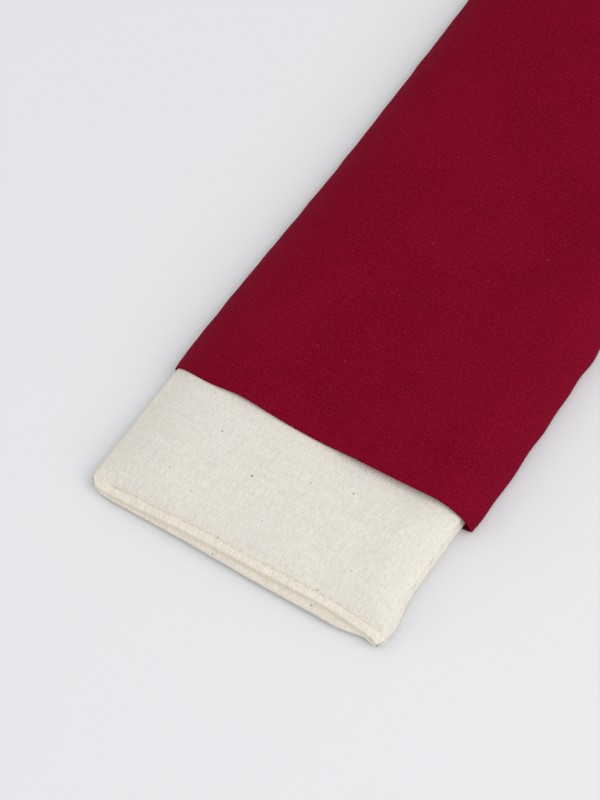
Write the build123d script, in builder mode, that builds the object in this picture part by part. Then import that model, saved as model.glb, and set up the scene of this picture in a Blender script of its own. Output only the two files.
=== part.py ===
"""Eye pillow: a seed-filled calico inner bag that slides in and out of a cotton sateen cover.

Millimetres. +Z is up and the pillow lies on Z = 0. It is long in Y, with the open mouth of the
cover towards -Y, and the bag is drawn part-way out of the mouth. The origin is under the middle
of the whole pillow's box.
"""

import os

from build123d import *

os.makedirs("parts", exist_ok=True)

# ---- driving dimensions ---------------------------------------------------------------------

# Cloth and thread
calico = 0.45  # unbleached plain weave of the inner bag
sateen = 0.35  # dyed cloth of the cover
bag_thread = 0.30
cover_thread = 0.24

# Inner bag, sewn up, with its seeds
bag_length = 220.0  # over both ends, with the edge-stitched lip
bag_width = 95.0
bag_thickness = 11.0
bag_seam_height = 5.0  # seam above the bag's underside
bag_base_inset = 2.5  # the seeds settle, so the underside is nearly as wide as the seam
bag_shoulder_inset = 2.5  # the top is steep up to its shoulder
bag_shoulder_drop = 2.2  # shoulder below the crown
bag_crown_inset = 8.0  # the top is flat inside this
bag_corner_radius = 5.0  # in plan
bag_allowance = 6.0  # raw edges turned inside
lip_width = 3.0  # folded edges that close the filling end
lip_corner_radius = 2.0  # in plan
closing_stitch_inset = 2.4  # from the lip's folded edge
closing_stitch_pitch = 2.6
closing_stitch_length = 2.1

# Cover
side_margin = 1.8  # each side seam lies this far outside the pocket
waist = 0.6  # each side pulls in by this at mid-length
cover_corner_radius = 4.0
cover_allowance = 6.0  # raw edges turned inside
facing_depth = 22.0  # folded back inside the mouth
facing_stitch_pitch = 5.0
facing_stitch_length = 3.2
mouth_overhang = 4.0  # mouth past the bag's lip when the bag is right in
end_gap = 6.0  # bag's far seam to the cover's, when the bag is right in
thread_tail = 1.6  # end of the side seam's thread past the mouth

# Clearances between the bag and the cover over the whole slide
floor_gap = 0.3
roof_gap = 0.4
side_gap = 0.7
pocket_spread = 0.4  # the pocket is this much wider at its base, each side

# How far the bag is drawn out
pull_out = 45.0

# Filling
fill_gap = 0.1  # seeds to cloth, and to the buds among them
bud_length = 5.0
bud_width = 1.9
bud_columns = 6
bud_rows = 9
bud_turn = 137.5  # each bud lies turned from the one before, in degrees

# ---- places worked out from them ------------------------------------------------------------

cover_length = mouth_overhang + bag_length + end_gap
total_length = cover_length + pull_out
lip_edge = -total_length / 2
lip_root = lip_edge + lip_width
bag_far = lip_edge + bag_length
mouth = lip_edge + pull_out
cover_far = mouth + cover_length
facing_edge = mouth + facing_depth
pocket_far = mouth + mouth_overhang + bag_length + side_gap

bag_base = 3 * sateen + floor_gap  # the bag slides over the bottom panel and both turned-in edges
bag_seam = bag_base + bag_seam_height
bag_crown = bag_base + bag_thickness
facing_roof = bag_crown + roof_gap
pocket_roof = facing_roof + sateen
cover_seam = 2 * sateen  # over the bottom panel and its turned-in edge

bag_half = bag_width / 2
pocket_half = bag_half + side_gap
cover_half = pocket_half + side_margin
bag_line = bag_half - calico - bag_thread / 2  # line of the bag's seam thread
cover_line = cover_half - waist - sateen - cover_thread / 2


# ---- forms ----------------------------------------------------------------------------------


def outline_levels(half_width, levels, grow):
    """A pillow's half-widths and heights from the base up, grown by that much all round."""
    with BuildSketch() as section:
        with BuildLine():
            right = [(half_width - inset, z) for inset, z in levels]
            Polyline(*right, *[(-x, z) for x, z in reversed(right)], close=True)
        make_face()
        if grow:
            offset(amount=grow, kind=Kind.INTERSECTION, mode=Mode.REPLACE)
    corners = section.sketch.vertices().filter_by(lambda corner: corner.X > 0).sort_by(Axis.Y)
    return [(corner.X, corner.Y) for corner in corners]


def pillow_form(near, far, half_width, levels, corner, grow):
    """A closed pillow form through rounded rectangles at its base, seam, shoulder and crown."""
    longer = (far - near) / 2 - half_width
    with BuildPart() as form:
        for half, z in outline_levels(half_width, levels, grow):
            with BuildSketch(Plane.XY.offset(z)):
                with Locations((0, (near + far) / 2)):
                    RectangleRounded(2 * half, 2 * (half + longer), corner + grow)
        loft(ruled=True)
    return form.part


def bag_form(grow=0.0):
    """The bag's outer skin without its lip, or its inside where grow is negative."""
    levels = (
        (bag_base_inset, bag_base),
        (0, bag_seam),
        (bag_shoulder_inset, bag_crown - bag_shoulder_drop),
        (bag_crown_inset, bag_crown),
    )
    return pillow_form(lip_root, bag_far, bag_half, levels, bag_corner_radius, grow)


def pocket_form(roof, grow=0.0):
    """The room inside the cover under a roof, or the cover's outside where it is grown.

    It runs out past the mouth, where it is cut off.
    """
    levels = (
        (-pocket_spread, sateen),
        (0, bag_seam),
        (bag_shoulder_inset, roof - bag_shoulder_drop),
        (bag_crown_inset, roof),
    )
    return pillow_form(mouth - pull_out, pocket_far, pocket_half, levels, bag_corner_radius, grow)


def bag_rim(z_low, z_high, inset):
    """A flat ring from the bag's widest outline in to an inset."""
    with BuildPart() as rim:
        with BuildSketch(Plane.XY.offset(z_low)):
            with Locations((0, (lip_root + bag_far) / 2)):
                RectangleRounded(2 * bag_half, bag_far - lip_root, bag_corner_radius)
                Rectangle(
                    2 * (bag_half - inset), bag_far - lip_root - 2 * inset, mode=Mode.SUBTRACT
                )
        extrude(amount=z_high - z_low)
    return rim.part


def bag_lip():
    """The flat lip at the filling end: the two panels' folded edges, two layers each."""
    with BuildPart() as lip:
        with BuildSketch(Plane.XY.offset(bag_seam - 2 * calico)):
            with Locations((0, lip_edge + (lip_width + bag_corner_radius) / 2)):
                outline = Rectangle(
                    2 * (bag_half - lip_corner_radius), lip_width + bag_corner_radius
                )
            fillet(outline.vertices().group_by(Axis.Y)[0], lip_corner_radius)
        extrude(amount=4 * calico)
    return lip.part


def cover_layer(z_low, z_high, rim=None):
    """A flat layer of the cover in plan, or only its rim on the three sewn sides.

    The sides are waisted and the far corners rounded.
    """
    mid = (mouth + cover_far) / 2
    with BuildPart() as layer:
        with BuildSketch(Plane.XY.offset(z_low)):
            with BuildLine():
                Line((-cover_half, mouth), (cover_half, mouth))
                ThreePointArc((cover_half, mouth), (cover_half - waist, mid), (cover_half, cover_far))
                Line((cover_half, cover_far), (-cover_half, cover_far))
                ThreePointArc(
                    (-cover_half, cover_far), (-cover_half + waist, mid), (-cover_half, mouth)
                )
            outline = make_face()
            fillet(outline.vertices().group_by(Axis.Y)[-1], cover_corner_radius)
            if rim is not None:
                with Locations((0, (lip_edge + cover_far - rim) / 2)):
                    Rectangle(
                        2 * (cover_half - waist - rim),
                        cover_far - rim - lip_edge,
                        mode=Mode.SUBTRACT,
                    )
        extrude(amount=z_high - z_low)
    return layer.part


def facing_block(half_width, z_low, z_high):
    """The depth of the facing inside the mouth, between two heights."""
    with BuildPart() as block:
        with BuildSketch(Plane.XY.offset(z_low)):
            with Locations((0, mouth + facing_depth / 2)):
                Rectangle(2 * half_width, facing_depth)
        extrude(amount=z_high - z_low)
    return block.part


def thread_run(corners, radius, thickness, z):
    """A round thread along a path with rounded corners at one height."""
    with BuildPart() as thread:
        with BuildLine() as path:
            FilletPolyline(*[(x, y, z) for x, y in corners], radius=radius)
        with BuildSketch(Plane(origin=path.line @ 0, z_dir=path.line % 0)):
            Circle(thickness / 2)
        sweep()
    return thread.part


def stitch_row(span, pitch, length, thickness, y, z):
    """Separate short stitches in a row across the pillow."""
    with BuildPart() as row:
        with Locations((0, y, z)):
            with GridLocations(pitch, pitch, int(span // pitch), 1):
                Cylinder(thickness / 2, length, rotation=(0, 90, 0))
    return row.part


def bud():
    """One dried lavender bud, an oval grain along X."""
    with BuildPart() as grain:
        with BuildSketch():
            with BuildLine():
                EllipticalCenterArc((0, 0), bud_length / 2, bud_width / 2, arc_size=180)
                Line((bud_length / 2, 0), (-bud_length / 2, 0))
            make_face()
        revolve(axis=Axis.X)
    return grain.part


def save(part, label):
    """Labels a finished piece and writes its STEP file."""
    part.label = label
    export_step(part, f"parts/{label}.step")


# ---- threads --------------------------------------------------------------------------------

# The bag's construction seam runs up one side, across the far end and down the other.
bag_path = [
    (-bag_line, lip_root + bag_corner_radius),
    (-bag_line, bag_far - bag_half + bag_line),
    (bag_line, bag_far - bag_half + bag_line),
    (bag_line, lip_root + bag_corner_radius),
]
bag_seam_needle_thread = thread_run(bag_path, bag_corner_radius, bag_thread, bag_seam + calico)
bag_seam_bobbin_thread = thread_run(bag_path, bag_corner_radius, bag_thread, bag_seam - calico)

# The filling end is edge-stitched through the lip, a row of stitches above and one below.
closing_row = (
    2 * (bag_half - bag_corner_radius),
    closing_stitch_pitch,
    closing_stitch_length,
    bag_thread,
    lip_edge + closing_stitch_inset,
)
closing_needle_stitches = stitch_row(*closing_row, bag_seam + 2 * calico)
closing_bobbin_stitches = stitch_row(*closing_row, bag_seam - 2 * calico)

# The cover's seam does the same, and one end of the needle thread hangs out at the mouth.
cover_turn = cover_far - cover_half + waist + cover_line
cover_path = [
    (-cover_line, mouth),
    (-cover_line, cover_turn),
    (cover_line, cover_turn),
    (cover_line, mouth),
]
cover_tail_path = [(-cover_line, mouth - thread_tail)] + cover_path[1:]
cover_seam_needle_thread = thread_run(
    cover_tail_path, cover_corner_radius, cover_thread, cover_seam + sateen
)
cover_seam_bobbin_thread = thread_run(
    cover_path, cover_corner_radius, cover_thread, cover_seam - sateen
)

# Catch stitches lie in the step between each facing's inner edge and its panel.
facing_row = (facing_stitch_pitch, facing_stitch_length, cover_thread, facing_edge + cover_thread / 2)
facing_half = pocket_half - bag_crown_inset
top_facing_stitches = stitch_row(2 * facing_half, *facing_row, pocket_roof - cover_thread / 2)
bottom_facing_stitches = stitch_row(2 * facing_half, *facing_row, sateen + cover_thread / 2)

# ---- inner bag ------------------------------------------------------------------------------

bag_skin = bag_form()
bag_fold = (bag_seam - calico, bag_seam + calico)  # the two allowances, turned in

with BuildPart() as bag_room:
    add(bag_form(-calico))
    add(bag_rim(*bag_fold, bag_allowance), mode=Mode.SUBTRACT)

# Each panel is its half of the skin and of the lip, with its allowance turned in along the seam.
with BuildPart() as bag_top_panel:
    add(bag_skin)
    add(bag_lip())
    add(bag_room.part, mode=Mode.SUBTRACT)
    split(bisect_by=Plane.XY.offset(bag_seam), keep=Keep.TOP)
    add(bag_seam_needle_thread, mode=Mode.SUBTRACT)
    add(closing_needle_stitches, mode=Mode.SUBTRACT)

with BuildPart() as bag_bottom_panel:
    add(bag_skin)
    add(bag_lip())
    add(bag_room.part, mode=Mode.SUBTRACT)
    split(bisect_by=Plane.XY.offset(bag_seam), keep=Keep.BOTTOM)
    add(bag_seam_bobbin_thread, mode=Mode.SUBTRACT)
    add(closing_bobbin_stitches, mode=Mode.SUBTRACT)

# Buds lie through the seeds on a loose grid, above and below the seam, each turned its own way.
bud_margin = bag_allowance + bud_length
bud_step_x = 2 * (bag_half - bud_margin) / (bud_columns - 1)
bud_step_y = (bag_far - lip_root - 2 * bud_margin) / (bud_rows - 1)
bud_heights = ((bag_base + bag_seam) / 2, (bag_seam + bag_crown) / 2)
bud_places = [
    Location(
        (
            (column - (bud_columns - 1) / 2) * bud_step_x,
            lip_root + bud_margin + row * bud_step_y,
            bud_heights[(row + column) % 2],
        ),
        (0, 0, bud_turn * (row * bud_columns + column)),
    )
    for row in range(bud_rows)
    for column in range(bud_columns)
]

with BuildPart() as lavender_buds:
    with Locations(bud_places):
        add(bud())

# The seeds fill the rest of the bag, round the turned-in allowances and the buds.
with BuildPart() as linseed_fill:
    add(bag_form(-calico - fill_gap))
    add(
        bag_rim(
            bag_seam - calico - bag_thread / 2 - fill_gap,
            bag_seam + calico + bag_thread / 2 + fill_gap,
            bag_allowance + fill_gap,
        ),
        mode=Mode.SUBTRACT,
    )
    with Locations(bud_places):
        Cylinder(
            bud_width / 2 + fill_gap,
            bud_length + 2 * fill_gap,
            rotation=(0, 90, 0),
            mode=Mode.SUBTRACT,
        )

# ---- cover ----------------------------------------------------------------------------------

pocket = pocket_form(pocket_roof)

# The top facing fills the pocket's roof and walls in to the facing's own roof, near the mouth.
with BuildPart() as top_facing:
    add(pocket)
    add(pocket_form(facing_roof), mode=Mode.SUBTRACT)
    add(facing_block(cover_half, bag_seam, pocket_roof), mode=Mode.INTERSECT)

# The top panel stands over the pocket, with a flat margin outside it and its edge turned in.
with BuildPart() as cover_top_panel:
    add(pocket_form(pocket_roof, sateen))
    with BuildSketch(Plane.XZ.offset(-mouth)):
        Rectangle(4 * cover_half, 4 * pocket_roof)
    extrude(amount=total_length, mode=Mode.SUBTRACT)
    add(cover_layer(cover_seam, cover_seam + 2 * sateen))
    add(pocket, mode=Mode.SUBTRACT)
    add(cover_layer(cover_seam, cover_seam + sateen, cover_allowance))
    add(top_facing.part)
    split(bisect_by=Plane.XY.offset(cover_seam), keep=Keep.TOP)
    add(cover_seam_needle_thread, mode=Mode.SUBTRACT)

# The bottom panel lies flat, with its edge turned in over it and its own facing at the mouth.
with BuildPart() as cover_bottom_panel:
    add(cover_layer(0, sateen))
    add(cover_layer(sateen, cover_seam, cover_allowance))
    add(facing_block(cover_half - waist - cover_allowance, sateen, cover_seam))
    add(cover_seam_bobbin_thread, mode=Mode.SUBTRACT)

# ---- write every piece ----------------------------------------------------------------------

save(bag_top_panel.part, "bag_top_panel")
save(bag_bottom_panel.part, "bag_bottom_panel")
save(bag_seam_needle_thread, "bag_seam_needle_thread")
save(bag_seam_bobbin_thread, "bag_seam_bobbin_thread")
save(closing_needle_stitches, "closing_needle_stitches")
save(closing_bobbin_stitches, "closing_bobbin_stitches")
save(lavender_buds.part, "lavender_buds")
save(linseed_fill.part, "linseed_fill")
save(cover_top_panel.part, "cover_top_panel")
save(cover_bottom_panel.part, "cover_bottom_panel")
save(cover_seam_needle_thread, "cover_seam_needle_thread")
save(cover_seam_bobbin_thread, "cover_seam_bobbin_thread")
save(top_facing_stitches, "top_facing_stitches")
save(bottom_facing_stitches, "bottom_facing_stitches")
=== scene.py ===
"""Looks of the eye pillow: a calico bag of linseed drawn part-way out of a crimson sateen cover.

Sizes here are millimetres, and are turned to metres where a mesh is made. The pillow lies along Y
with its open mouth towards -Y. A piece of cloth is a Grid: its points, over the distances across
(+X) and along (+Y) that they had when the cloth was flat.
"""

import math

import bpy
import numpy as np
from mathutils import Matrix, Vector


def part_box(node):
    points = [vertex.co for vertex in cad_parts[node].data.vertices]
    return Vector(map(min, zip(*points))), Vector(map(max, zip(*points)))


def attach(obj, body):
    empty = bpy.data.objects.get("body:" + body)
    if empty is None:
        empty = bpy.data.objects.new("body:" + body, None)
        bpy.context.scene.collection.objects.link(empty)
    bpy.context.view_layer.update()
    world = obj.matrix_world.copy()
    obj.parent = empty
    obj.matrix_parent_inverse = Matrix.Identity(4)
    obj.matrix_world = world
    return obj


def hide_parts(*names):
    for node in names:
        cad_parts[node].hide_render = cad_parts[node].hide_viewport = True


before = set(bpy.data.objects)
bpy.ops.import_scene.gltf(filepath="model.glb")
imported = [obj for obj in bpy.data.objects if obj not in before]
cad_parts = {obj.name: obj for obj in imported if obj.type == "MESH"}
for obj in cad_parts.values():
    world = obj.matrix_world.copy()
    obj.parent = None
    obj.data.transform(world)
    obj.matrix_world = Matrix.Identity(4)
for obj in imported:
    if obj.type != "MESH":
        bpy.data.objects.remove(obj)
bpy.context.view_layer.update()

MM = 0.001
RIGHT_ANGLE = math.pi / 2


# ---- sizes ----------------------------------------------------------------------------------


def box_mm(node):
    """A node's lowest and highest corners."""
    low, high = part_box(node)
    return np.array(low) / MM, np.array(high) / MM


bag_low, bag_high = box_mm("bag_top_panel")
cover_low, cover_high = box_mm("cover_top_panel")
BAG_NEAR, BAG_FAR = bag_low[1], bag_high[1]
BAG_HALF, BAG_CROWN = bag_high[0], bag_high[2]
MOUTH, COVER_FAR = cover_low[1], cover_high[1]
COVER_HALF = cover_high[0]
PULL_OUT = MOUTH - BAG_NEAR

CALICO = 0.45
SATEEN = 0.35
BAG_THREAD = 0.30
COVER_THREAD = 0.24

# The bag, as it lies
BAG_FLOOR = 0.90  # its underside, clear of the cover's bottom cloth and facing
SHOULDER_LEFT = 24.0  # the seeds have run to the right, so the left slopes further
SHOULDER_RIGHT = 11.0
SHOULDER_NEAR = 12.0
SHOULDER_FAR = 14.0
LIP = 2.1  # folded edges outside the closing stitches
LIP_RISE = 0.2  # share of the height that the lip takes up
WALL = 5.5  # cloth from the seam down to where the underside is flat
ALLOWANCE = 3.4  # turned in along the seams
SEAM_ROLL = 0.46  # radius at which a panel rolls under at its seam
BAG_SEAM = 0.62  # the construction seam's thread, in from the edge
STITCH_PITCH = 2.6
STITCH = 2.1
CLOSING_MARGIN = 5.5  # at each end of the row of closing stitches

# The cover, as it lies
COVER_LEFT = 26.0
COVER_RIGHT = 13.0
COVER_END = 17.0
COVER_TIP = 0.7  # each corner of the mouth is this far inside the widest part
WAIST = 1.8
MOUTH_BOW = 4.2
FACING = 22.0
FOLD = 2 * SATEEN + 0.08  # from a cloth's outside to the inside of its facing
TIP = 9.0  # the stretch at each corner of the mouth where the fold gets thinner
TIP_THINNER = 0.75  # share of the fold that it loses there
TIP_IN = 0.8  # how far the facing stands in there, in folds
ROOM = 0.4  # between the bag and the cover
COVER_SEAM = 0.30  # the seam's thread, in from the edge and from the cloth's outside
CATCH_PITCH = 5.0
CATCH = 3.2
CATCH_MARGIN = 14.0  # at each end of the row of catch stitches
THREAD_TAIL = 1.6

# The filling
SEED = (4.4, 2.3, 1.0)
BUD = (5.0, 1.9)
BUD_MARGINS = (14.0, 16.0)  # the outermost buds' places, in from the sides and the ends

# The meshes and the cloth simulation
CLOTH_STEP = 1.5  # between a cloth's points where it is flat
SIM_SCALE = 10  # times the real size
SIM_STEP = 2.0
SIM_STEPS = 20
SIM_CAP = 0.7  # the furthest that the simulation may move a point


# ---- shapes in numbers ----------------------------------------------------------------------


def waves(x, y, seed, length, count=22):
    """A smooth random field from about -1 to 1, with bumps of about that length."""
    rng = np.random.default_rng(seed)
    total = np.zeros(np.broadcast(x, y).shape)
    for _ in range(count):
        turn, phase = rng.uniform(0, 2 * math.pi, 2)
        size = length * rng.uniform(0.65, 1.6)
        way = x * math.cos(turn) + y * math.sin(turn)
        total += np.cos(2 * math.pi * way / size + phase)
    return total / math.sqrt(count)


def ripple(s, seed, shortest, longest, count=7):
    """A random wave along a seam."""
    rng = np.random.default_rng(seed)
    total = np.zeros(np.shape(s))
    for _ in range(count):
        size = rng.uniform(shortest, longest)
        height, phase = rng.uniform(0.5, 1.0), rng.uniform(0, 2 * math.pi)
        total += height * np.cos(2 * math.pi * s / size + phase)
    return total / math.sqrt(count)


def bump(value, low, high):
    """Rises smoothly from 0 to 1 and back between two values."""
    return np.sin(math.pi * np.clip((value - low) / (high - low), 0, 1)) ** 2


def ramp(value, low, high):
    """Rises smoothly from 0 at low to 1 at high."""
    t = np.clip((value - low) / (high - low), 0, 1)
    return t * t * (3 - 2 * t)


def shoulder(distance, width, fullness=0.7):
    """A rounded rise from 0 at a seam to 1 at that width from it."""
    return (1 - (1 - np.clip(distance / width, 0, 1)) ** 2) ** fullness


def lip_and_shoulder(distance):
    """The near end of the bag's top: a sloping lip, a crease, then the shoulder."""
    lip = LIP_RISE * np.clip(distance / LIP, 0, 1)
    return lip + (1 - LIP_RISE) * shoulder(distance - LIP, SHOULDER_NEAR, 0.62)


def spaced(length, low_zone, high_zone, step, low_rows, high_rows):
    """Distances from 0 to a length, close together at both ends where the surface is steep."""
    low = low_zone * (1 - np.cos(np.linspace(0, RIGHT_ANGLE, low_rows + 1)))
    high = length - high_zone * (1 - np.cos(np.linspace(0, RIGHT_ANGLE, high_rows + 1)))[::-1]
    count = max(2, round((length - low_zone - high_zone) / step))
    between = np.linspace(low_zone, length - high_zone, count + 1)[1:-1]
    return np.concatenate([low, between, high])


def round_corner(x, y, corner, radius, sign_x, sign_y):
    """Moves the points of a square corner into a round one."""
    a = np.clip((sign_x * (x - corner[0]) + radius) / radius, 0, None)
    b = np.clip((sign_y * (y - corner[1]) + radius) / radius, 0, None)
    inside = (a > 0) & (b > 0)
    new_a = a * np.sqrt(np.clip(1 - b * b / 2, 0, 1))
    new_b = b * np.sqrt(np.clip(1 - a * a / 2, 0, 1))
    x = np.where(inside, x + sign_x * radius * (new_a - a), x)
    y = np.where(inside, y + sign_y * radius * (new_b - b), y)
    return x, y


class Grid:
    """A piece of cloth's surface over its distances across and along."""

    def __init__(self, across, along, points):
        self.across, self.along, self.points = across, along, points

    def at(self, across, along):
        """The points at those distances, between the grid's own."""
        column = np.interp(across, self.across, np.arange(len(self.across)))
        row = np.interp(along, self.along, np.arange(len(self.along)))
        c = np.minimum(column.astype(int), len(self.across) - 2)
        r = np.minimum(row.astype(int), len(self.along) - 2)
        u, v = (column - c)[..., None], (row - r)[..., None]
        low = (1 - u) * self.points[r, c] + u * self.points[r, c + 1]
        high = (1 - u) * self.points[r + 1, c] + u * self.points[r + 1, c + 1]
        return (1 - v) * low + v * high


# ---- meshes ---------------------------------------------------------------------------------


def add_piece(name, vertices, faces):
    """A new smooth mesh piece from millimetres."""
    mesh = bpy.data.meshes.new(name)
    mesh.from_pydata((np.asarray(vertices) * MM).tolist(), [], faces)
    mesh.polygons.foreach_set("use_smooth", [True] * len(mesh.polygons))
    piece = bpy.data.objects.new(name, mesh)
    bpy.context.scene.collection.objects.link(piece)
    return piece


def grid_faces(rows, columns, flip=False):
    """Faces of a grid of points, facing up, or down when flipped."""
    index = np.arange(rows * columns).reshape(rows, columns)
    corners = [index[:-1, :-1], index[:-1, 1:], index[1:, 1:], index[1:, :-1]]
    if flip:
        corners = corners[::-1]
    return np.stack([corner.ravel() for corner in corners], axis=1).tolist()


def run_lengths(points, axis):
    """Distance along a grid's rows or columns."""
    steps = np.linalg.norm(np.diff(points, axis=axis), axis=2)
    start = np.zeros_like(np.take(steps, [0], axis=axis))
    return np.cumsum(np.concatenate([start, steps], axis=axis), axis=axis)


def cloth_piece(name, points, thickness, doubled_and_highlit, flip=False):
    """A cloth of that thickness under a grid of points.

    Its mesh keeps the cloth's own coordinates for the weave, and a mask of where it lies double,
    which also carries painted highlight.
    """
    rows, columns = points.shape[:2]
    piece = add_piece(name, points.reshape(-1, 3), grid_faces(rows, columns, flip))
    across, along = run_lengths(points, 1), run_lengths(points, 0)
    across = across - across[:, columns // 2][:, None]
    cloth = np.stack([across, along, np.zeros_like(along)], axis=2) * MM
    layer = piece.data.attributes.new("cloth", "FLOAT_VECTOR", "POINT")
    layer.data.foreach_set("vector", cloth.astype(np.float32).ravel())
    layer = piece.data.attributes.new("doubled_and_highlit", "FLOAT", "POINT")
    layer.data.foreach_set("value", doubled_and_highlit.astype(np.float32).ravel())
    solid = piece.modifiers.new("cloth_thickness", "SOLIDIFY")
    solid.thickness = thickness * MM
    solid.offset = -1.0
    return piece


def stack_ring(grid, around):
    """A grid with one more ring of points, taken from a larger grid's edge."""
    bigger = np.pad(grid, ((1, 1), (1, 1), (0, 0)), mode="edge")
    bigger[0], bigger[-1] = around[0], around[-1]
    bigger[:, 0], bigger[:, -1] = around[:, 0], around[:, -1]
    return bigger


def tube(path, radius, sides=6):
    """Vertices and faces of a round thread along a path, closed at both ends."""
    path = np.asarray(path, float)
    way = np.gradient(path, axis=0)
    way /= np.maximum(np.linalg.norm(way, axis=1, keepdims=True), 1e-9)
    across = np.cross(way, (0.0, 0.0, 1.0))
    across /= np.maximum(np.linalg.norm(across, axis=1, keepdims=True), 1e-9)
    up = np.cross(across, way)
    angles = np.arange(sides) * 2 * math.pi / sides
    circle = np.cos(angles)[:, None, None] * across + np.sin(angles)[:, None, None] * up
    thin = np.ones(len(path))
    thin[0] = thin[-1] = 0.45
    rings = path + radius * thin[:, None] * circle
    vertices = rings.transpose(1, 0, 2).reshape(-1, 3)
    faces = []
    for ring in range(len(path) - 1):
        for side in range(sides):
            a, b = ring * sides + side, ring * sides + (side + 1) % sides
            faces.append((a, b, b + sides, a + sides))
    last = (len(path) - 1) * sides
    faces.append(tuple(range(sides))[::-1])
    faces.append(tuple(range(last, last + sides)))
    return vertices, faces


def join(parts):
    """Vertices and faces of several parts as one."""
    vertices, faces, count = [], [], 0
    for part_vertices, part_faces in parts:
        vertices.append(part_vertices)
        faces += [tuple(index + count for index in face) for face in part_faces]
        count += len(part_vertices)
    return np.concatenate(vertices), faces


def threads(name, paths, thickness):
    """One piece with a thread along each path."""
    return add_piece(name, *join([tube(path, thickness / 2) for path in paths]))


# ---- cloth simulation -----------------------------------------------------------------------


def settled(grid, hold, pressure, seed):
    """Lets a cloth settle under a pressure from below, and returns its new grid.

    hold says how firmly its seams and what lies under it keep it, over the distances across and
    along. A little unevenness from the seed starts it off.
    """
    across = np.linspace(0, grid.across[-1], round(grid.across[-1] / SIM_STEP) + 1)
    along = np.linspace(0, grid.along[-1], round(grid.along[-1] / SIM_STEP) + 1)
    s, t = np.meshgrid(across, along)
    start = grid.at(s, t)
    uneven = 0.02 * waves(s, t, seed, 9.0)
    begun = start + np.stack([0 * uneven, 0 * uneven, uneven], axis=2)
    piece = add_piece("settling", begun.reshape(-1, 3) * SIM_SCALE, grid_faces(*s.shape))
    group = piece.vertex_groups.new(name="hold")
    for index, weight in enumerate(np.clip(hold(s, t), 0, 1).ravel().tolist()):
        group.add([index], weight, "REPLACE")
    cloth = piece.modifiers.new("cloth", "CLOTH")
    cloth.settings.quality = 6
    cloth.settings.mass = 0.2
    cloth.settings.tension_stiffness = 25
    cloth.settings.compression_stiffness = 25
    cloth.settings.shear_stiffness = 12
    cloth.settings.bending_stiffness = 0.4
    cloth.settings.air_damping = 3
    cloth.settings.vertex_group_mass = "hold"
    cloth.settings.pin_stiffness = 1.0
    cloth.settings.use_pressure = True
    cloth.settings.uniform_pressure_force = pressure
    cloth.settings.effector_weights.gravity = 0
    cloth.collision_settings.use_collision = False
    cloth.collision_settings.use_self_collision = False
    cloth.point_cache.frame_start, cloth.point_cache.frame_end = 1, SIM_STEPS
    for step in range(1, SIM_STEPS + 1):
        bpy.context.scene.frame_set(step)
    mesh = piece.evaluated_get(bpy.context.evaluated_depsgraph_get()).to_mesh()
    end = np.empty(len(mesh.vertices) * 3, np.float32)
    mesh.vertices.foreach_get("co", end)
    moved = end.reshape(start.shape) / MM / SIM_SCALE - start
    bpy.data.objects.remove(piece)
    bpy.context.scene.frame_set(1)
    far = np.linalg.norm(moved, axis=2, keepdims=True)
    moved *= np.minimum(1, SIM_CAP / np.maximum(far, 1e-6))
    change = Grid(across, along, moved)
    fine_s, fine_t = np.meshgrid(grid.across, grid.along)
    return Grid(grid.across, grid.along, grid.points + change.at(fine_s, fine_t))


# ---- inner bag ------------------------------------------------------------------------------


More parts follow.
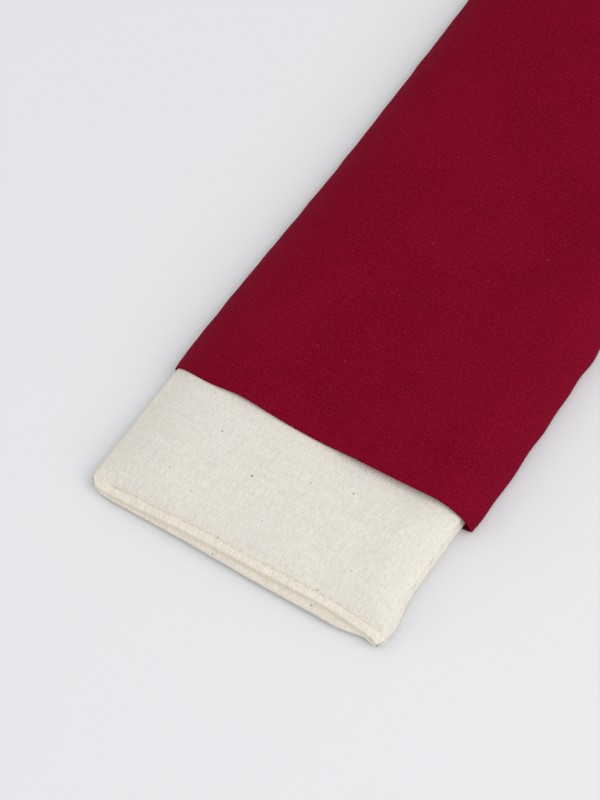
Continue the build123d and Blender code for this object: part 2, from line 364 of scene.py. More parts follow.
class BagPlan:
    """The bag's grid in plan: where each point lies, and how far in from each side."""

    def __init__(self):
        width, length = 2 * BAG_HALF, BAG_FAR - BAG_NEAR
        self.across = spaced(width, SHOULDER_LEFT, SHOULDER_RIGHT, CLOTH_STEP, 22, 14)
        crease = LIP + np.array([0.35, 0.8])
        near_rows = np.unique(np.concatenate([np.linspace(0, LIP, 8), crease]))
        rest = spaced(length - LIP, SHOULDER_NEAR, SHOULDER_FAR, CLOTH_STEP, 16, 14)[3:] + LIP
        self.along = np.concatenate([near_rows[near_rows < rest[0] - 0.1], rest])
        self.left, self.near = np.meshgrid(self.across, self.along)
        self.right, self.far = width - self.left, length - self.near
        self.x, self.y = self.left - BAG_HALF, self.near + BAG_NEAR
        self.to_side = np.minimum(self.left, self.right)
        self.to_end = np.minimum(self.near, self.far)
        self.to_seam = np.minimum(self.to_side, self.to_end)

    def outline(self, x, y):
        """Where places in the square plan go: round corners, a slanting near edge, soft sides."""
        near, right = y - BAG_NEAR, BAG_HALF - x
        round_x, round_y = x, y
        for sign_x, sign_y, radius, edge in (
            (-1, -1, 5.0, BAG_NEAR),
            (1, -1, 2.2, BAG_NEAR),
            (-1, 1, 6.0, BAG_FAR),
            (1, 1, 6.0, BAG_FAR),
        ):
            corner = (sign_x * BAG_HALF, edge)
            round_x, round_y = round_corner(round_x, round_y, corner, radius, sign_x, sign_y)
        # Narrower inside the cover, and wider towards the near end
        tucked = ramp(near, PULL_OUT, PULL_OUT + 24)
        left_out = 0.45 - 1.85 * tucked + 0.4 * np.exp(-((near / 12) ** 2))
        right_out = -1.5 - 0.5 * tucked + 2.1 * np.exp(-(((near - 4) / 8) ** 2))
        sideways = right_out * ramp(x, 0, BAG_HALF) - left_out * ramp(-x, 0, BAG_HALF)
        slant = 0.5 * ramp(-x, 0, 42) - 0.6 * ramp(x, -10, 30)
        # The near right corner is drawn out to an ear, with a notch behind it
        ear = np.exp(-((right / 2.6) ** 2) - (near / 2.6) ** 2)
        notch = np.exp(-(((near - 4.6) / 1.1) ** 2) - (right / 2.5) ** 2)
        round_x = round_x + sideways - 0.4 * ear - 0.7 * notch
        return round_x, round_y - slant * np.exp(-((near / 20) ** 2)) - 1.3 * ear

    def seam_height(self):
        """Height of the seam, carried across the bag: low on the left and at the near right."""
        level = 2.5 + 2.8 * ramp(self.x, -BAG_HALF - 3, -6) + 0.7 * ramp(self.x, 0, 40)
        droop = np.exp(-((self.near / 9.0) ** 2)) * ramp(self.x, BAG_HALF - 20, BAG_HALF)
        side_wave, end_wave = self.seam_waves()
        wavy = 0.20 * np.exp(-self.to_side / 4) * side_wave * ramp(self.near, 0, 8)
        wavy = wavy * ramp(self.x, -BAG_HALF, 0)
        return level - 3.2 * droop + wavy + 0.15 * np.exp(-self.to_end / 4) * end_wave

    def seam_waves(self):
        """The seams' own random waves, at the nearer side and the nearer end."""
        left, right = ripple(self.y, 11, 7, 16), ripple(self.y, 12, 7, 16)
        near, far = ripple(self.x, 13, 9, 20), ripple(self.x, 14, 7, 16)
        side = np.where(self.left < self.right, left, right)
        return side, np.where(self.near < self.far, near, far)

    def crown(self):
        """Height of the top's middle: a little uneven, and sunk on the right past the mouth."""
        sunk = 1.1 * bump(self.x, 0, BAG_HALF + 20) * (1 - ramp(self.y, MOUTH + 4, MOUTH + 34))
        soft = 0.26 * (waves(self.x, self.y, 3, 34.0) + 1.3)
        soft += 0.09 * (waves(self.x, self.y, 4, 12.0) + 1)
        return BAG_CROWN - 0.15 - np.clip(sunk + soft, 0, None)


def seam_gather(plan):
    """How far the seams' gathers press the top in, deepest a little way in from each seam."""
    side_wave, end_wave = plan.seam_waves()
    wave = np.where(plan.to_side < plan.to_end, side_wave, end_wave)
    depth = (1 - np.exp(-((plan.to_seam / 2.2) ** 2))) * np.exp(-plan.to_seam / 7.0)
    return 0.26 * depth * (wave + 1)


def bag_top_grid(plan):
    """The top panel: full over the seeds, down to its seams, gathered along them."""
    x, y = plan.outline(plan.x, plan.y)
    level = plan.seam_height()
    sides = shoulder(plan.left, SHOULDER_LEFT) * shoulder(plan.right, SHOULDER_RIGHT, 0.62)
    ends = lip_and_shoulder(plan.near) * shoulder(plan.far, SHOULDER_FAR)
    z = level + (plan.crown() - level) * sides * ends - seam_gather(plan)
    return Grid(plan.across, plan.along, np.stack([x, y, z + SEAM_ROLL], axis=2))


def wall(distance, tuck, bulge):
    """The bottom panel down from a seam: its distance in from the seam, and how far down it is.

    A tuck first takes it in under the lip, then the seeds push it out again by the bulge.
    """
    t = np.clip(distance / WALL, 0, 1)
    inset = tuck * bump(t, 0, 0.42) - bulge * bump(t, 0.25, 0.85) + WALL * ramp(t, 0.6, 1.0)
    return inset + np.clip(distance - WALL, 0, None), ramp(t, 0.02, 0.80)


def bag_bottom_grid(plan):
    """The bottom panel: down from the seams and flat over what it lies on."""
    level = plan.seam_height()
    left, left_down = wall(plan.left, 0.0, 0.05)
    right, right_down = wall(plan.right, 0.0, 0.4)
    clear = ramp(plan.right, 3, 15) * ramp(plan.left, 1, 10)
    bulge = (0.5 + 1.3 * ramp(plan.x, -35, 25)) * clear
    near, near_down = wall(plan.near, (LIP - 1.3) * clear, bulge)
    far, far_down = wall(plan.far, 0.0, 0.4)
    x = np.where(plan.x < 0, left - BAG_HALF, BAG_HALF - right)
    y = np.where(plan.near < plan.far, near + BAG_NEAR, BAG_FAR - far)
    x, y = plan.outline(x, y)
    under = BAG_FLOOR + 0.12 * (waves(plan.x, plan.y, 7, 26.0) + 1.5) * ramp(plan.to_seam, 6, 14)
    down = left_down * right_down * near_down * far_down
    z = level - SEAM_ROLL
    z = z - (z - np.clip(under, BAG_FLOOR, None)) * down
    return Grid(plan.across, plan.along, np.stack([x, y, z], axis=2))


def with_allowance(plan, grid, turn):
    """A panel's points with its edge rolled under all round and its allowance turned in.

    turn is -1 where the allowance lies below the panel and 1 where it lies above.
    """
    points = grid.points
    x, y, edge_z = plan.x, plan.y, points[..., 2]
    # Each ring is so far round the roll, and has so much of the allowance behind it
    for angle, back in ((30, 0), (60, 0), (90, 0), (90, 0.5), (90, 1)):
        x, y, edge_z = (np.pad(values, 1, mode="edge") for values in (x, y, edge_z))
        a = math.radians(angle)
        inset = SEAM_ROLL * (1 - math.cos(a)) + back * ALLOWANCE
        inner_x = np.clip(x, inset - BAG_HALF, BAG_HALF - inset)
        inner_y = np.clip(y, BAG_NEAR + inset, BAG_FAR - inset)
        ring_x, ring_y = plan.outline(inner_x, inner_y)
        ring_z = edge_z + turn * SEAM_ROLL * math.sin(a)
        points = stack_ring(points, np.stack([ring_x, ring_y, ring_z], axis=2))
    return points


def hold_bag(s, t):
    """Fast at the seams and lightly over the seeds."""
    to_seam = np.minimum(np.minimum(s, 2 * BAG_HALF - s), np.minimum(t, BAG_FAR - BAG_NEAR - t))
    return np.maximum(0.30 * ramp(to_seam, 3, 16), 1 - ramp(to_seam, 0.2, 2.4))


def make_bag(plan):
    """Both panels, and their grids for what is sewn to them."""
    top = settled(bag_top_grid(plan), hold_bag, 0.6, 31)
    bottom = bag_bottom_grid(plan)
    # The allowances show through along the sides and in the folded lip; the stronger band on the
    # left and the lip's full strength are painted highlight as well
    doubled_and_highlit = 0.75 * np.exp(-plan.left / 4.0) + 0.15 * np.exp(-plan.right / 3.0)
    doubled_and_highlit = np.maximum(doubled_and_highlit, np.exp(-np.clip(plan.near - LIP, 0, None) / 0.6))
    doubled_and_highlit = np.pad(doubled_and_highlit, 5, mode="edge")
    pieces = []
    for name, grid, turn in (("bag_top_cloth", top, -1), ("bag_bottom_cloth", bottom, 1)):
        points = with_allowance(plan, grid, turn)
        pieces.append(cloth_piece(name, points, CALICO, doubled_and_highlit, turn > 0))
    return *pieces, top, bottom


def stitch_path(grid, starts, along, dip, lift, steps=7):
    """One stitch on a cloth from a place across to another, dipping in at both ends."""
    s = np.linspace(*starts, steps)
    path = grid.at(s, np.full(steps, along))
    path[:, 2] += lift - dip * (1 - np.sin(np.linspace(0, math.pi, steps)) ** 0.5)
    return path


def row_of_stitches(grid, along, margin, pitch, length, dip, lift, seed):
    """Paths of a row of stitches across a cloth, each a little different."""
    rng = np.random.default_rng(seed)
    width = grid.across[-1]
    count = int((width - 2 * margin) / pitch)
    first = (width - count * pitch) / 2
    paths = []
    for number in range(count):
        start = first + number * pitch + rng.uniform(-0.12, 0.12)
        ends = (start, start + length + rng.uniform(-0.15, 0.1))
        paths.append(stitch_path(grid, ends, along + rng.uniform(-0.08, 0.08), dip, lift))
    return paths


def seam_line(grid, inset, drop, near_end, corner):
    """A line along a cloth's left side, far end and right side, inside its edge."""
    width, length = grid.across[-1], grid.along[-1]
    up = np.linspace(near_end, length - corner, 150)
    over = np.linspace(corner, width - corner, 60)
    turn = np.linspace(0, RIGHT_ANGLE, 9)[1:-1]
    side = np.concatenate(
        [np.zeros_like(up), corner * (1 - np.cos(turn)), over, width - corner * (1 - np.sin(turn))]
        + [np.full_like(up, width)]
    )
    rise = np.concatenate(
        [up, length - corner * (1 - np.sin(turn)), np.full_like(over, length)]
        + [length - corner * (1 - np.cos(turn)), up[::-1]]
    )
    path = grid.at(side, rise)
    middle = grid.at(np.array([width / 2]), np.array([length / 2]))[0]
    way = middle - path
    way[:, 0] = np.where(np.abs(side - width / 2) > width / 2 - corner, np.sign(way[:, 0]), 0)
    way[:, 1] = np.where(rise > length - corner, np.sign(way[:, 1]), 0)
    way[:, 2] = 0
    way /= np.maximum(np.linalg.norm(way, axis=1, keepdims=True), 1e-6)
    path = path + inset * way
    path[:, 2] += drop
    return path


def make_bag_sewing(top, bottom):
    """The closing stitches above and below, and the construction seam's two threads."""
    row = (CLOSING_MARGIN, STITCH_PITCH, STITCH)
    above = row_of_stitches(top, LIP + 0.1, *row, 0.30, 0.06, 41)
    below = row_of_stitches(bottom, LIP * 0.5, *row, -0.30, -0.06, 42)
    drop = SEAM_ROLL - 0.14
    return (
        threads("closing_stitches_above", above, BAG_THREAD),
        threads("closing_stitches_below", below, BAG_THREAD),
        threads("bag_thread_above", [seam_line(top, BAG_SEAM, -drop, 7, 6)], BAG_THREAD),
        threads("bag_thread_below", [seam_line(bottom, BAG_SEAM, drop, 7, 6)], BAG_THREAD),
    )


# ---- filling --------------------------------------------------------------------------------


def oval(rings, sides):
    """A unit oval's vertices and faces, long in X."""
    turn = np.linspace(0, math.pi, rings + 2)[1:-1]
    angle = np.arange(sides) * 2 * math.pi / sides
    x = -np.cos(turn)[:, None] * np.ones(sides)
    y = np.sin(turn)[:, None] * np.cos(angle)
    z = np.sin(turn)[:, None] * np.sin(angle)
    body = np.stack([x, y, z], axis=2).reshape(-1, 3)
    vertices = np.concatenate([body, [[-1, 0, 0], [1, 0, 0]]])
    first, last = len(body), len(body) + 1
    faces = []
    for side in range(sides):
        after = (side + 1) % sides
        faces.append((first, after, side))
        end = (rings - 1) * sides
        faces.append((last, end + side, end + after))
        for ring in range(rings - 1):
            a, b = ring * sides + side, ring * sides + after
            faces.append((a, b, b + sides, a + sides))
    return vertices, faces


def scattered(shape, places, ways, ups, half_sizes):
    """Copies of a shape at places, each lying along its own way on its own slope."""
    vertices, faces = shape
    sides = np.cross(ups, ways)
    axes = np.stack([ways, sides, ups], axis=1)
    copies = np.einsum("vi,nij->nvj", vertices * half_sizes, axes) + places[:, None]
    count = len(vertices)
    every = [tuple(i + n * count for i in face) for n in range(len(places)) for face in faces]
    return copies.reshape(-1, 3), every


def laid_on(grid, s, t, drop, turn):
    """Places under a grid's surface, with the way and the slope at which something lies there."""
    here = grid.at(s, t)
    run = grid.at(s + 1, t) - grid.at(s - 1, t)
    rise = grid.at(s, t + 1) - grid.at(s, t - 1)
    up = np.cross(run, rise)
    up /= np.linalg.norm(up, axis=1, keepdims=True)
    run /= np.linalg.norm(run, axis=1, keepdims=True)
    across = np.cross(up, run)
    way = run * np.cos(turn)[:, None] + across * np.sin(turn)[:, None]
    return here - up * np.asarray(drop)[..., None], way, up


def filling_grid(grid, inset, drop):
    """A face of the heap of seeds: the cloth's own shape, inside it."""
    width, length = grid.across[-1], grid.along[-1]
    across = np.linspace(inset, width - inset, 60)
    along = np.linspace(inset + LIP, length - inset, 130)
    s, t = np.meshgrid(across, along)
    points = grid.at(s, t)
    middle = (BAG_FLOOR + BAG_CROWN) / 2
    keep = 1 - drop / np.maximum(np.abs(points[..., 2] - middle), drop + 0.05)
    points[..., 2] = middle + (points[..., 2] - middle) * keep
    return Grid(across, along, points)


def make_filling(top, bottom):
    """The heap of linseed, with whole seeds over its surface, and the lavender buds in it."""
    rng = np.random.default_rng(51)
    parts = []
    faces_of_heap = []
    for grid, flip in ((top, False), (bottom, True)):
        face = filling_grid(grid, inset=WALL + 1.0, drop=2.0)
        faces_of_heap.append(face)
        rows, columns = face.points.shape[:2]
        parts.append((face.points.reshape(-1, 3), grid_faces(rows, columns, flip)))
        sign = -1 if flip else 1
        step_s, step_t = SEED[1] * 1.35, SEED[0] * 0.72
        s, t = np.meshgrid(
            np.arange(face.across[0] + 2, face.across[-1] - 2, step_s),
            np.arange(face.along[0] + 2, face.along[-1] - 2, step_t),
        )
        s = s.ravel() + rng.uniform(-0.8, 0.8, s.size)
        t = t.ravel() + rng.uniform(-0.8, 0.8, t.size)
        drop = sign * (CALICO + SEED[2] / 2 + 0.35 + rng.uniform(0, 0.5, s.size))
        place, way, up = laid_on(grid, s, t, drop, rng.uniform(0, math.pi, s.size))
        parts.append(scattered(oval(2, 5), place, way, up, np.array(SEED) / 2))
    parts.append(heap_side(*faces_of_heap))
    heap = add_piece("linseed_heap", *join(parts))

    side, end = BUD_MARGINS
    s, t = np.meshgrid(
        np.linspace(side, 2 * BAG_HALF - side, 6), np.linspace(end, top.along[-1] - end, 9)
    )
    s = s.ravel() + rng.uniform(-4, 4, s.size)
    t = t.ravel() + rng.uniform(-6, 6, t.size)
    drop = np.full(s.size, CALICO + BUD[1] / 2 + 0.3)
    place, way, up = laid_on(top, s, t, drop, rng.uniform(0, math.pi, s.size))
    half = np.array([BUD[0], BUD[1], BUD[1]]) / 2
    buds = add_piece("lavender_flowers", *scattered(bud_shape(), place, way, up, half))
    return heap, buds


def heap_side(top, bottom):
    """The heap's steep side, from the edge of its top face to the edge of its bottom face."""

    def rim(points):
        near, right = points[0, :-1], points[:-1, -1]
        far, left = points[-1, :0:-1], points[:0:-1, 0]
        return np.concatenate([near, right, far, left])

    upper, lower = rim(top.points), rim(bottom.points)
    count = len(upper)
    faces = [(i, i + count, (i + 1) % count + count, (i + 1) % count) for i in range(count)]
    return np.concatenate([upper, lower]), faces


def bud_shape():
    """A lavender bud: an oval with eight ribs, blunt at its open end."""
    vertices, faces = oval(6, 16)
    angle = np.arctan2(vertices[:, 2], vertices[:, 1])
    ribs = 1 + 0.09 * np.cos(8 * angle)
    blunt = 1 + 0.18 * vertices[:, 0]
    return vertices * np.stack([np.ones_like(ribs), ribs * blunt, ribs * blunt], axis=1), faces


# ---- cover ----------------------------------------------------------------------------------


class CoverPlan:
    """The cover's grid in plan, from the mouth to the far seam."""

    def __init__(self):
        width, length = 2 * COVER_HALF, COVER_FAR - MOUTH
        self.across = spaced(width, COVER_LEFT, COVER_RIGHT, CLOTH_STEP, 24, 18)
        self.along = spaced(length, 12.0, COVER_END, CLOTH_STEP, 12, 16)
        self.left, self.near = np.meshgrid(self.across, self.along)
        self.right, self.far = width - self.left, length - self.near
        self.x, self.y = self.left - COVER_HALF, self.near + MOUTH
        self.to_side = np.minimum(self.left, self.right)
        left_wave, right_wave = ripple(self.y, 21, 9, 22), ripple(self.y, 22, 9, 22)
        self.wave = np.where(self.left < self.right, left_wave, right_wave)

    def outline(self, bow):
        """Where the plan's points lie: waisted, a little wavy, and with the mouth bowed out."""
        t = self.near / (COVER_FAR - MOUTH)
        pull = WAIST * np.sin(math.pi * t**0.72) ** 0.8
        pull = pull * (1 - 0.55 * (1 - ramp(self.near, 20, 90)))
        pull = pull + COVER_TIP * np.exp(-self.near / 4.0)
        pull = pull + 0.25 * self.wave * ramp(self.near, 2, 14)
        side = np.where(self.left < self.right, -1.0, 1.0)
        x = self.x - side * pull * (1 - self.to_side / COVER_HALF)
        y = self.y
        for sign in (-1, 1):
            x, y = round_corner(x, y, (sign * COVER_HALF, COVER_FAR), 3.0, sign, 1)
        arch = (1 - (self.x / COVER_HALF) ** 2) ** 0.6
        arch = arch + 0.27 * bump(self.x, 1 - COVER_HALF, -22)
        return x, y - bow * arch * np.exp(-self.near / 30.0)

    def seam_height(self):
        """Height of the seam, carried across the cover: low, and a little wavy."""
        wavy = 0.30 * self.wave * ramp(self.near, 4, 18)
        return 1.1 + 0.3 * ramp(self.near, 3, 30) + wavy


def cover_top_grid(plan):
    """The top cloth: over the bag, lifted at the mouth, in soft folds and gathers."""
    x, y = plan.outline(MOUTH_BOW)
    seam = plan.seam_height() + 0.06
    roof = BAG_CROWN + ROOM + SATEEN + 0.22 * (waves(plan.x, plan.y, 5, 46.0) + 1.2)
    roof = roof + 0.06 * (waves(plan.x, plan.y, 6, 15.0) + 1)
    lift = 0.6 * bump(plan.x, -4, 52) * np.exp(-plan.near / 9.0)
    rise = shoulder(plan.left, COVER_LEFT, 0.62) * shoulder(plan.right, COVER_RIGHT, 0.6)
    rise = rise * shoulder(plan.far, COVER_END, 0.6)
    end_wave = ripple(plan.x, 23, 9, 20)
    wave = np.where(plan.to_side < plan.far, plan.wave, end_wave)
    to_seam = np.minimum(plan.to_side, plan.far)
    gather = (1 - np.exp(-((to_seam / 2.5) ** 2))) * np.exp(-to_seam / 12.0)
    drawn = bump(plan.right, 2, 44) * (waves(plan.x * 0.8 - plan.y, plan.y * 0.35, 8, 26.0) + 0.6)
    z = seam + (roof + lift - seam) * rise + 0.52 * gather * wave + 0.30 * np.clip(drawn, 0, None)
    return Grid(plan.across, plan.along, np.stack([x, y, z], axis=2))


def cover_bottom_grid(plan):
    """The bottom cloth: flat on the table, and up to the seams."""
    x, y = plan.outline(0.0)
    seam = plan.seam_height() - 0.06
    foot = shoulder(plan.to_side, 6.0, 0.8) * shoulder(plan.far, 6.0, 0.8)
    z = seam - (seam - 0.03) * foot
    return Grid(plan.across, plan.along, np.stack([x, y, z], axis=2))


def with_facing(grid, inward):
    """A cover cloth with its mouth edge folded in, and the facing that lies inside it.

    inward is -1 where the inside is below the cloth, and 1 where it is above.
    """
    points = grid.points
    last = int(np.argmax(grid.along > FACING))
    facing = points[1:last][::-1].copy()
    reach = np.clip(np.abs(facing[..., 0]) - (COVER_HALF - TIP), 0, None) / TIP
    facing[..., 2] += inward * FOLD * (1 - TIP_THINNER * reach)
    facing[..., 0] -= np.sign(facing[..., 0]) * TIP_IN * FOLD * reach
    rows = [facing]
    for turn in np.linspace(math.pi, 0, 7)[:-1]:
        row = points[0].copy()
        down = FOLD / 2 * (1 - math.cos(turn))
        near_tip = ramp(np.abs(row[:, 0]), COVER_HALF - TIP, COVER_HALF)
        row[:, 1] -= FOLD / 2 * math.sin(turn)
        row[:, 2] += inward * down * (1 - TIP_THINNER * near_tip)
        row[:, 0] -= np.sign(row[:, 0]) * TIP_IN * down * near_tip
        rows.append(row[None])
    return np.concatenate(rows + [points], axis=0)


def hold_cover(s, t):
    """Fast at the seams and the mouth, and lightly over the bag."""
    to_side = np.minimum(s, 2 * COVER_HALF - s)
    to_seam = np.minimum(to_side, COVER_FAR - MOUTH - t)
    firm = np.maximum(0.25 * ramp(to_seam, 4, 20), 1 - ramp(to_seam, 0.2, 2.4))
    return np.maximum(firm, 1 - ramp(t, 0.5, 5))


def make_cover():
    """Both cloths with their facings, and their grids for what is sewn to them."""
    plan = CoverPlan()
    top = settled(cover_top_grid(plan), hold_cover, 0.4, 32)
    bottom = cover_bottom_grid(plan)
    pieces = []
    for name, grid, inward in (("cover_top_cloth", top, -1), ("cover_bottom_cloth", bottom, 1)):
        points = with_facing(grid, inward)
        single = np.zeros(points.shape[:2])
        pieces.append(cloth_piece(name, points, SATEEN, single, inward > 0))
    return *pieces, top, bottom


def make_cover_sewing(top, bottom):
    """The cover's seam, with a tail at the mouth, and the facings' catch stitches."""
    above = seam_line(top, COVER_SEAM, -COVER_SEAM, 0.3, 4)
    below = seam_line(bottom, COVER_SEAM, COVER_SEAM, 0.3, 4)
    tail = above[0] + np.array([[0.5, -THREAD_TAIL, -0.7], [0.1, -THREAD_TAIL * 0.5, -0.2]])
    above = np.concatenate([tail, above])
    row = (FACING, CATCH_MARGIN, CATCH_PITCH, CATCH)
    upper = row_of_stitches(top, *row, 0.1, -FOLD, 43)
    lower = row_of_stitches(bottom, *row, -0.1, FOLD - 0.2, 44)
    return (
        threads("cover_thread_above", [above], COVER_THREAD),
        threads("cover_thread_below", [below], COVER_THREAD),
        threads("facing_stitches_above", upper, COVER_THREAD),
        threads("facing_stitches_below", lower, COVER_THREAD),
    )


# ---- materials ------------------------------------------------------------------------------


class Nodes:
    """A short way to write a material's nodes."""

    def __init__(self, name):
        self.material = bpy.data.materials.new(name)
        self.material.use_nodes = True
        self.tree = self.material.node_tree
        self.shader = self.tree.nodes["Principled BSDF"]

    def put(self, socket, value):
        """Links a socket, or gives it a value."""
        if isinstance(value, bpy.types.NodeSocket):
            self.tree.links.new(value, socket)
        else:
            socket.default_value = value

    def add(self, kind, inputs=None, **settings):
        node = self.tree.nodes.new(kind)
        for key, value in settings.items():
            setattr(node, key, value)
        for key, value in (inputs or {}).items():
            self.put(node.inputs[key], value)
        return node

    def surface(self, **values):
        """Sets the shader's own sockets, with spaces for underscores in their names."""
        for name, value in values.items():
            self.put(self.shader.inputs[name.replace("_", " ")], value)

    def math(self, operation, *values):
        node = self.add("ShaderNodeMath", operation=operation)
        for socket, value in zip(node.inputs, values):
            self.put(socket, value)
        return node.outputs[0]

    def mix(self, factor, a, b):
        sockets = {0: factor, 6: colour(a), 7: colour(b)}
        return self.add("ShaderNodeMix", sockets, data_type="RGBA").outputs[2]

    def cloth(self):
        """The cloth's own coordinates in millimetres."""
        own = self.add("ShaderNodeAttribute", attribute_name="cloth").outputs["Vector"]
        return self.stretch(own, 1 / MM)

    def object(self):
        """The piece's place in millimetres."""
        return self.stretch(self.add("ShaderNodeTexCoord").outputs["Object"], 1 / MM)

    def stretch(self, vector, x, y=None, z=None):
        scale = (x, x if y is None else y, x if z is None else z)
        node = self.add("ShaderNodeVectorMath", {0: vector, 1: scale}, operation="MULTIPLY")
        return node.outputs[0]

    def noise(self, vector, scale, detail=2.0, rough=0.5, offset=0.0):
        place = self.add("ShaderNodeVectorMath", {0: vector, 1: [offset] * 3}, operation="ADD")
        inputs = {"Vector": place.outputs[0], "Scale": scale, "Detail": detail, "Roughness": rough}
        return self.add("ShaderNodeTexNoise", inputs).outputs["Fac"]

    def range(self, value, low, high, to_low=0.0, to_high=1.0):
        """A value between two limits, as one between two others."""
        inputs = dict(zip(range(5), (value, low, high, to_low, to_high)))
        return self.add("ShaderNodeMapRange", inputs).outputs[0]

    def specks(self, vector, scale, share, largest, strength):
        """Small round marks scattered over a cloth's plane, as a factor."""
        inputs = {"Vector": vector, "Scale": scale}
        cells = self.add("ShaderNodeTexVoronoi", inputs, voronoi_dimensions="2D")
        pick = self.add("ShaderNodeSeparateColor", {0: cells.outputs["Color"]})
        chosen = self.math("LESS_THAN", pick.outputs[0], share)
        size = self.range(pick.outputs[1], 0, 1, largest * 0.4, largest)
        inside = self.math("LESS_THAN", cells.outputs["Distance"], size)
        return self.math("MULTIPLY", self.math("MULTIPLY", inside, chosen), strength)

    def bump(self, height, distance, strength=1.0, normal=None):
        inputs = {"Height": height, "Strength": strength, "Distance": distance * MM}
        if normal is not None:
            inputs["Normal"] = normal
        return self.add("ShaderNodeBump", inputs).outputs[0]


def colour(value):
    """A colour with its alpha, or a socket as it is."""
    return (*value, 1) if isinstance(value, tuple) and len(value) == 3 else value


def plain_weave(nodes, vector, pitch):
    """Height of a plain weave: each thread over and under, wandering as spun yarn does."""
    wander = nodes.math("MULTIPLY", nodes.noise(vector, 0.35, 2.0), 0.5)
    split = nodes.add("ShaderNodeSeparateXYZ", {0: vector})
    waves_of_thread = []
    for axis in (0, 1):
        place = nodes.math("ADD", split.outputs[axis], wander)
        waves_of_thread.append(nodes.math("SINE", nodes.math("MULTIPLY", place, math.pi / pitch)))
    warp, weft = waves_of_thread
    over = nodes.range(nodes.math("MULTIPLY", warp, weft), -0.25, 0.25)
    under = nodes.math("SUBTRACT", 1.0, over)
    warp_part = nodes.math("MULTIPLY", nodes.math("ABSOLUTE", warp), over)
    weft_part = nodes.math("MULTIPLY", nodes.math("ABSOLUTE", weft), under)
    return nodes.math("ADD", warp_part, weft_part)


def calico_material():
    """Unbleached plain weave: uneven yarn, cloudy, flecked, with painted shade in the gaps between
    the threads, and creamier where it lies double, with painted highlight on the lip and the left
    side.
    """
    nodes = Nodes("calico")
    cloth = nodes.cloth()
    weave = plain_weave(nodes, cloth, 0.42)
    warp = nodes.noise(nodes.stretch(cloth, 2.2, 0.07, 1), 1.0, 3.0, 0.6)
    weft = nodes.noise(nodes.stretch(cloth, 0.07, 2.0, 1), 1.0, 3.0, 0.6, 31.0)
    cloud = nodes.noise(cloth, 0.06, 3.0, 0.55, 7.0)
    grain = nodes.noise(nodes.stretch(cloth, 2.1, 0.5, 1), 1.0, 2.0, 0.7, 3.0)
    seeds = nodes.noise(nodes.stretch(cloth, 0.36, 0.30, 1), 1.0, 1.0, 0.4, 11.0)

    base = nodes.mix(nodes.range(cloud, 0.3, 0.7), (0.86, 0.815, 0.725), (0.83, 0.80, 0.725))
    # Creamier where the cloth lies double, plus painted highlight on the lip and the left side
    doubled_and_highlit = nodes.add("ShaderNodeAttribute", attribute_name="doubled_and_highlit").outputs["Fac"]
    base = nodes.mix(nodes.math("MULTIPLY", doubled_and_highlit, 0.95), base, (1.0, 0.885, 0.70))
    base = nodes.mix(nodes.range(warp, 0.36, 0.66, 0.0, 0.62), base, (0.71, 0.672, 0.588))
    base = nodes.mix(nodes.range(weft, 0.40, 0.66, 0.0, 0.45), base, (0.93, 0.90, 0.83))
    base = nodes.mix(nodes.range(grain, 0.40, 0.66, 0.0, 0.62), base, (0.66, 0.625, 0.545))
    base = nodes.mix(nodes.range(seeds, 0.45, 0.75, 0.0, 0.12), base, (0.62, 0.60, 0.53))
    # Painted shade: darker where the weave is low, in the gaps between the threads
    base = nodes.mix(nodes.range(weave, 0.12, 0.45, 0.30, 0.0), base, (0.45, 0.40, 0.31))
    flecks = nodes.specks(nodes.stretch(cloth, 1, 0.8, 1), 0.085, 0.6, 0.028, 0.72)
    base = nodes.mix(flecks, base, (0.105, 0.070, 0.036))

    yarn = nodes.bump(warp, 0.03, 1.0, nodes.bump(seeds, 0.05))
    nodes.surface(
        Base_Color=base,
        Roughness=nodes.range(grain, 0.3, 0.7, 0.82, 0.94),
        Normal=nodes.bump(weave, 0.06, 0.6, yarn),
        Specular_IOR_Level=0.12,
        Sheen_Weight=0.05,
        Sheen_Roughness=0.5,
    )
    return nodes.material


def sateen_material():
    """Crimson cotton sateen, brushed: fine floats, fuzz, soft clouds and specks of lint."""
    nodes = Nodes("crimson_sateen")
    cloth = nodes.cloth()
    fuzz = nodes.noise(cloth, 1.3, 3.0, 0.65)
    floats = nodes.noise(nodes.stretch(cloth, 6.0, 1.1, 1), 1.0, 2.0, 0.5, 5.0)
    cloud = nodes.noise(cloth, 0.045, 3.0, 0.5, 9.0)
    darker, lighter = (0.172, 0.0008, 0.0120), (0.198, 0.0012, 0.0145)
    base = nodes.mix(nodes.range(cloud, 0.35, 0.65), darker, lighter)
    base = nodes.mix(nodes.range(fuzz, 0.42, 0.66, 0.0, 0.70), base, (0.290, 0.006, 0.030))
    base = nodes.mix(nodes.range(floats, 0.44, 0.68, 0.0, 0.60), base, (0.100, 0.0005, 0.008))
    base = nodes.mix(nodes.specks(cloth, 0.10, 0.25, 0.022, 0.22), base, (0.50, 0.16, 0.19))
    nodes.surface(
        Base_Color=base,
        Roughness=nodes.range(fuzz, 0.3, 0.7, 0.72, 0.85),
        Normal=nodes.bump(fuzz, 0.07, 0.8, nodes.bump(floats, 0.035)),
        Specular_IOR_Level=0.03,
        Sheen_Weight=0.02,
        Sheen_Roughness=0.35,
        Sheen_Tint=(0.9, 0.2, 0.3, 1),
    )
    return nodes.material


def thread_material(name, light, dark):
    """A twisted sewing thread."""
    nodes = Nodes(name)
    place = nodes.object()
    twist = nodes.add("ShaderNodeTexWave", {"Vector": place, "Scale": 1.2, "Distortion": 1.5})
    twist.bands_direction = "DIAGONAL"
    fibre = nodes.noise(place, 6.0, 2.0)
    base = nodes.mix(nodes.range(twist.outputs["Fac"], 0.1, 0.9), dark, light)
    base = nodes.mix(nodes.range(fibre, 0.4, 0.7, 0.0, 0.3), base, tuple(0.5 * c for c in light))
    nodes.surface(
        Base_Color=base,
        Normal=nodes.bump(twist.outputs["Fac"], 0.05),
        Roughness=0.7,
        Specular_IOR_Level=0.1,
    )
    return nodes.material


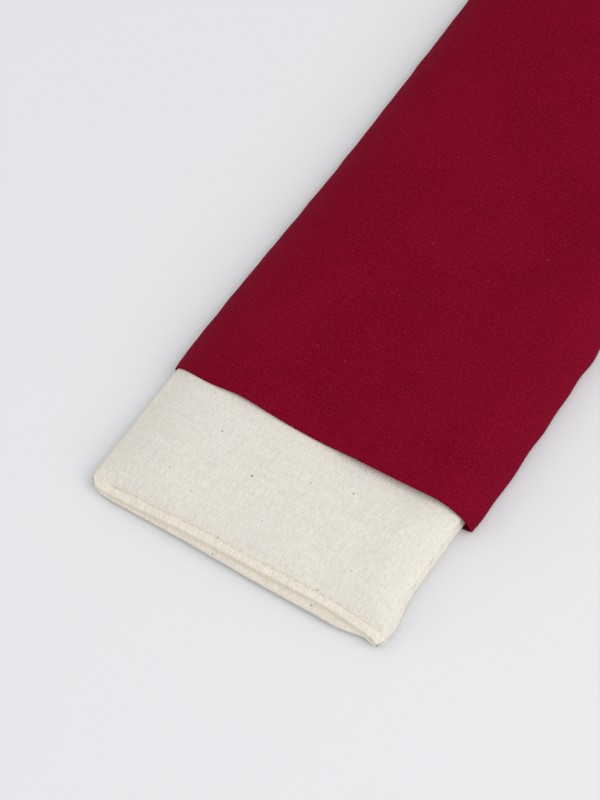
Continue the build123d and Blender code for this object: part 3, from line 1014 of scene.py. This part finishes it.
def linseed_material():
    """Glossy brown linseed, each seed its own shade."""
    nodes = Nodes("linseed")
    place = nodes.object()
    cells = nodes.add("ShaderNodeTexVoronoi", {"Vector": place, "Scale": 0.3})
    shade = nodes.add("ShaderNodeSeparateColor", {0: cells.outputs["Color"]}).outputs[0]
    grain = nodes.noise(place, 2.5, 2.0)
    base = nodes.mix(shade, (0.150, 0.062, 0.024), (0.300, 0.150, 0.062))
    base = nodes.mix(nodes.range(grain, 0.4, 0.7, 0.0, 0.4), base, (0.090, 0.036, 0.014))
    nodes.surface(
        Base_Color=base,
        Roughness=nodes.range(grain, 0.3, 0.7, 0.22, 0.4),
        Normal=nodes.bump(grain, 0.03),
    )
    return nodes.material


def lavender_material():
    """Dried lavender: grey-violet, paler and greener towards the stalk."""
    nodes = Nodes("lavender")
    place = nodes.object()
    patch = nodes.noise(place, 0.5, 2.0)
    fibre = nodes.noise(place, 4.0, 3.0)
    base = nodes.mix(nodes.range(patch, 0.35, 0.65), (0.20, 0.16, 0.33), (0.27, 0.26, 0.25))
    base = nodes.mix(nodes.range(fibre, 0.4, 0.7, 0.0, 0.5), base, (0.13, 0.10, 0.20))
    nodes.surface(Base_Color=base, Roughness=0.9, Normal=nodes.bump(fibre, 0.12))
    return nodes.material


def floor_material():
    """White studio paper."""
    nodes = Nodes("studio_paper")
    place = nodes.add("ShaderNodeTexCoord").outputs["Object"]
    cloud = nodes.noise(place, 3.0, 2.0)
    base = nodes.mix(nodes.range(cloud, 0.3, 0.7), (0.800, 0.802, 0.812), (0.806, 0.808, 0.818))
    nodes.surface(Base_Color=base, Roughness=0.9, Specular_IOR_Level=0.1)
    return nodes.material


# ---- studio ---------------------------------------------------------------------------------


def make_studio():
    """The paper underneath, an even sky, and two lamps that point at the middle."""
    bpy.ops.mesh.primitive_plane_add(size=6.0, location=(0, 0, -0.0001))
    floor = bpy.context.object
    floor.name = "studio_floor"
    floor.data.materials.append(floor_material())

    world = bpy.data.worlds.new("studio")
    bpy.context.scene.world = world
    world.use_nodes = True
    background = world.node_tree.nodes["Background"]
    background.inputs["Color"].default_value = (0.955, 0.965, 1.0, 1)
    background.inputs["Strength"].default_value = 0.71

    for name, place, size, power, tint in (
        ("key", (1.00, -0.05, 0.82), 1.0, 7.8, (1.0, 0.985, 0.96)),
        ("front", (-1.00, -0.65, 0.65), 1.3, 3.5, (1.0, 0.99, 0.97)),
    ):
        light = bpy.data.lights.new(name, "AREA")
        light.shape = "SQUARE"
        light.size = size
        light.energy = power
        light.color = tint
        lamp = bpy.data.objects.new(name, light)
        lamp.location = place
        lamp.rotation_mode = "QUATERNION"
        lamp.rotation_quaternion = (-Vector(place)).to_track_quat("-Z", "Y")
        bpy.context.scene.collection.objects.link(lamp)


def make_camera():
    """Where the photographer stood: in front of the open end and to its right, looking down."""
    azimuth, elevation, distance = math.radians(32.9), math.radians(57.5), 1.10
    target = Vector((-14.4, MOUTH + 10.9, 0)) * MM
    flat = math.cos(elevation)
    back = Vector((math.sin(azimuth) * flat, -math.cos(azimuth) * flat, math.sin(elevation)))
    data = bpy.data.cameras.new("camera")
    data.sensor_width = 36.0
    data.lens = 175.6
    data.clip_start, data.clip_end = 0.05, 20.0
    camera = bpy.data.objects.new("camera", data)
    camera.location = target + back * distance
    camera.rotation_mode = "QUATERNION"
    camera.rotation_quaternion = (-back).to_track_quat("-Z", "Y")
    bpy.context.scene.collection.objects.link(camera)
    bpy.context.scene.camera = camera


# ---- the model ------------------------------------------------------------------------------


def install(piece, body, node, slot, material):
    """Gives a piece its material and its body, and hides the CAD node it stands for; slot is not
    used.
    """
    piece.data.materials.append(material)
    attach(piece, body)
    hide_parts(node)


def make_model():
    """The bag and its cover: every piece, with its material and body, in place of its hidden CAD
    part.
    """
    plan = BagPlan()
    bag_top, bag_bottom, top_grid, bottom_grid = make_bag(plan)
    closing_above, closing_below, bag_above, bag_below = make_bag_sewing(top_grid, bottom_grid)
    heap, buds = make_filling(top_grid, bottom_grid)
    cover_top, cover_bottom, cover_over, cover_under = make_cover()
    cover_above, cover_below, catch_above, catch_below = make_cover_sewing(cover_over, cover_under)

    calico, sateen = calico_material(), sateen_material()
    cream = thread_material("cream_thread", (0.90, 0.83, 0.70), (0.66, 0.58, 0.45))
    crimson = thread_material("crimson_thread", (0.150, 0.002, 0.012), (0.06, 0.001, 0.005))
    linseed, lavender = linseed_material(), lavender_material()
    for row in (
        (bag_top, "inner_bag", "bag_top_panel", "calico", calico),
        (bag_bottom, "inner_bag", "bag_bottom_panel", "calico", calico),
        (closing_above, "inner_bag", "closing_needle_stitches", "cream_thread", cream),
        (closing_below, "inner_bag", "closing_bobbin_stitches", "cream_thread", cream),
        (bag_above, "inner_bag", "bag_seam_needle_thread", "cream_thread", cream),
        (bag_below, "inner_bag", "bag_seam_bobbin_thread", "cream_thread", cream),
        (heap, "inner_bag", "linseed_fill", "linseed", linseed),
        (buds, "inner_bag", "lavender_buds", "lavender", lavender),
        (cover_top, "cover", "cover_top_panel", "crimson_sateen", sateen),
        (cover_bottom, "cover", "cover_bottom_panel", "crimson_sateen", sateen),
        (cover_above, "cover", "cover_seam_needle_thread", "crimson_thread", crimson),
        (cover_below, "cover", "cover_seam_bobbin_thread", "crimson_thread", crimson),
        (catch_above, "cover", "top_facing_stitches", "crimson_thread", crimson),
        (catch_below, "cover", "bottom_facing_stitches", "crimson_thread", crimson),
    ):
        install(*row)


make_camera()
make_studio()
make_model()
bpy.context.scene.view_settings.view_transform = "Standard"
